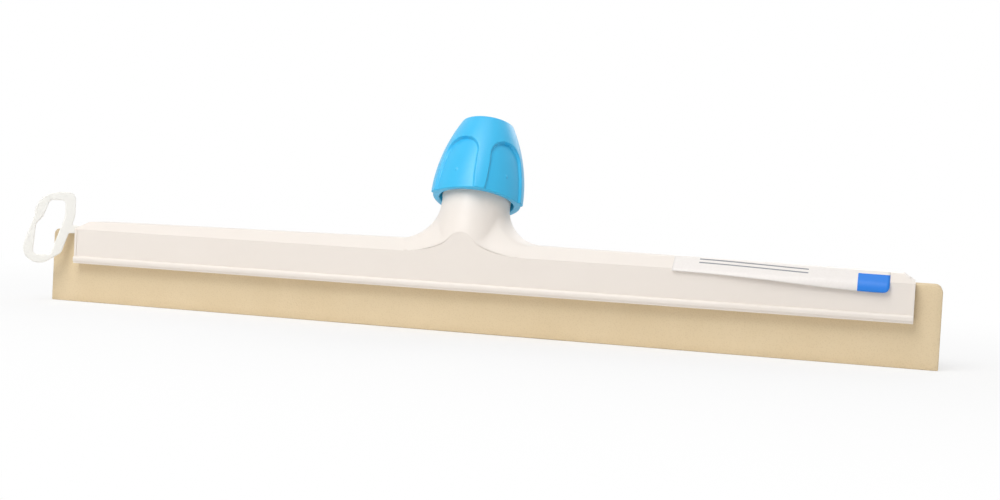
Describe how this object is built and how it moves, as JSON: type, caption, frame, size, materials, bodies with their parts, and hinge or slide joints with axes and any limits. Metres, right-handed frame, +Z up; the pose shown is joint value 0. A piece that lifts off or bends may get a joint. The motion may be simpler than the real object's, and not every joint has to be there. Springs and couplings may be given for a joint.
{
  "type": "floor squeegee",
  "caption": "Floor squeegee head with a gabled plastic holder, leaning neck with a screw clamp for a tube handle, and a slide-in cassette of twin foam rubber blades with a pull loop.",
  "frame": {"origin": "middle of the leading blade's wiping edge, on the floor", "axes": "+X along the blades to the user's right, +Y to the side the handle leans to, +Z up"},
  "size_m": [0.4617, 0.0637, 0.1072],
  "materials": {
    "holder_plastic": "satin moulded polypropylene",
    "label_paper": "coated paper",
    "collet_plastic": "satin",
    "nut_plastic": "semi-gloss moulded polypropylene",
    "cassette_plastic": "satin",
    "loop_plastic": "satin natural polyethylene",
    "blade_foam": "fine closed-cell foam rubber",
    "pin_steel": "drawn stainless wire"
  },
  "bodies": {
    "holder": {"holder_body": "holder_plastic", "product_label": "label_paper"},
    "collet": {"clamp_collet": "collet_plastic"},
    "nut": {"clamp_nut": "nut_plastic"},
    "cassette": {"cassette_channel": "cassette_plastic", "pull_loop": "loop_plastic", "spacer_strip": "cassette_plastic", "front_blade": "blade_foam", "rear_blade": "blade_foam", "cassette_pins": "pin_steel"}
  },
  "joints": [
    {"name": "collet_slide", "type": "slide", "parent": "holder", "child": "collet", "axis": [0, 0.342, 0.9397], "range_m": [0, 0.006]},
    {"name": "nut_turn", "type": "hinge", "parent": "collet", "child": "nut", "pos_m": [0, 0.01291, 0.05745], "axis": [0, 0.342, 0.9397], "range_deg": [0, 720]},
    {"name": "cassette_slide", "type": "slide", "parent": "holder", "child": "cassette", "axis": [-1, 0, 0], "range_m": [0, 0.4]}
  ],
  "couplings": [
    {"joint": "collet_slide", "follows": "nut_turn", "m_per_rad": 0.000477}
  ]
}
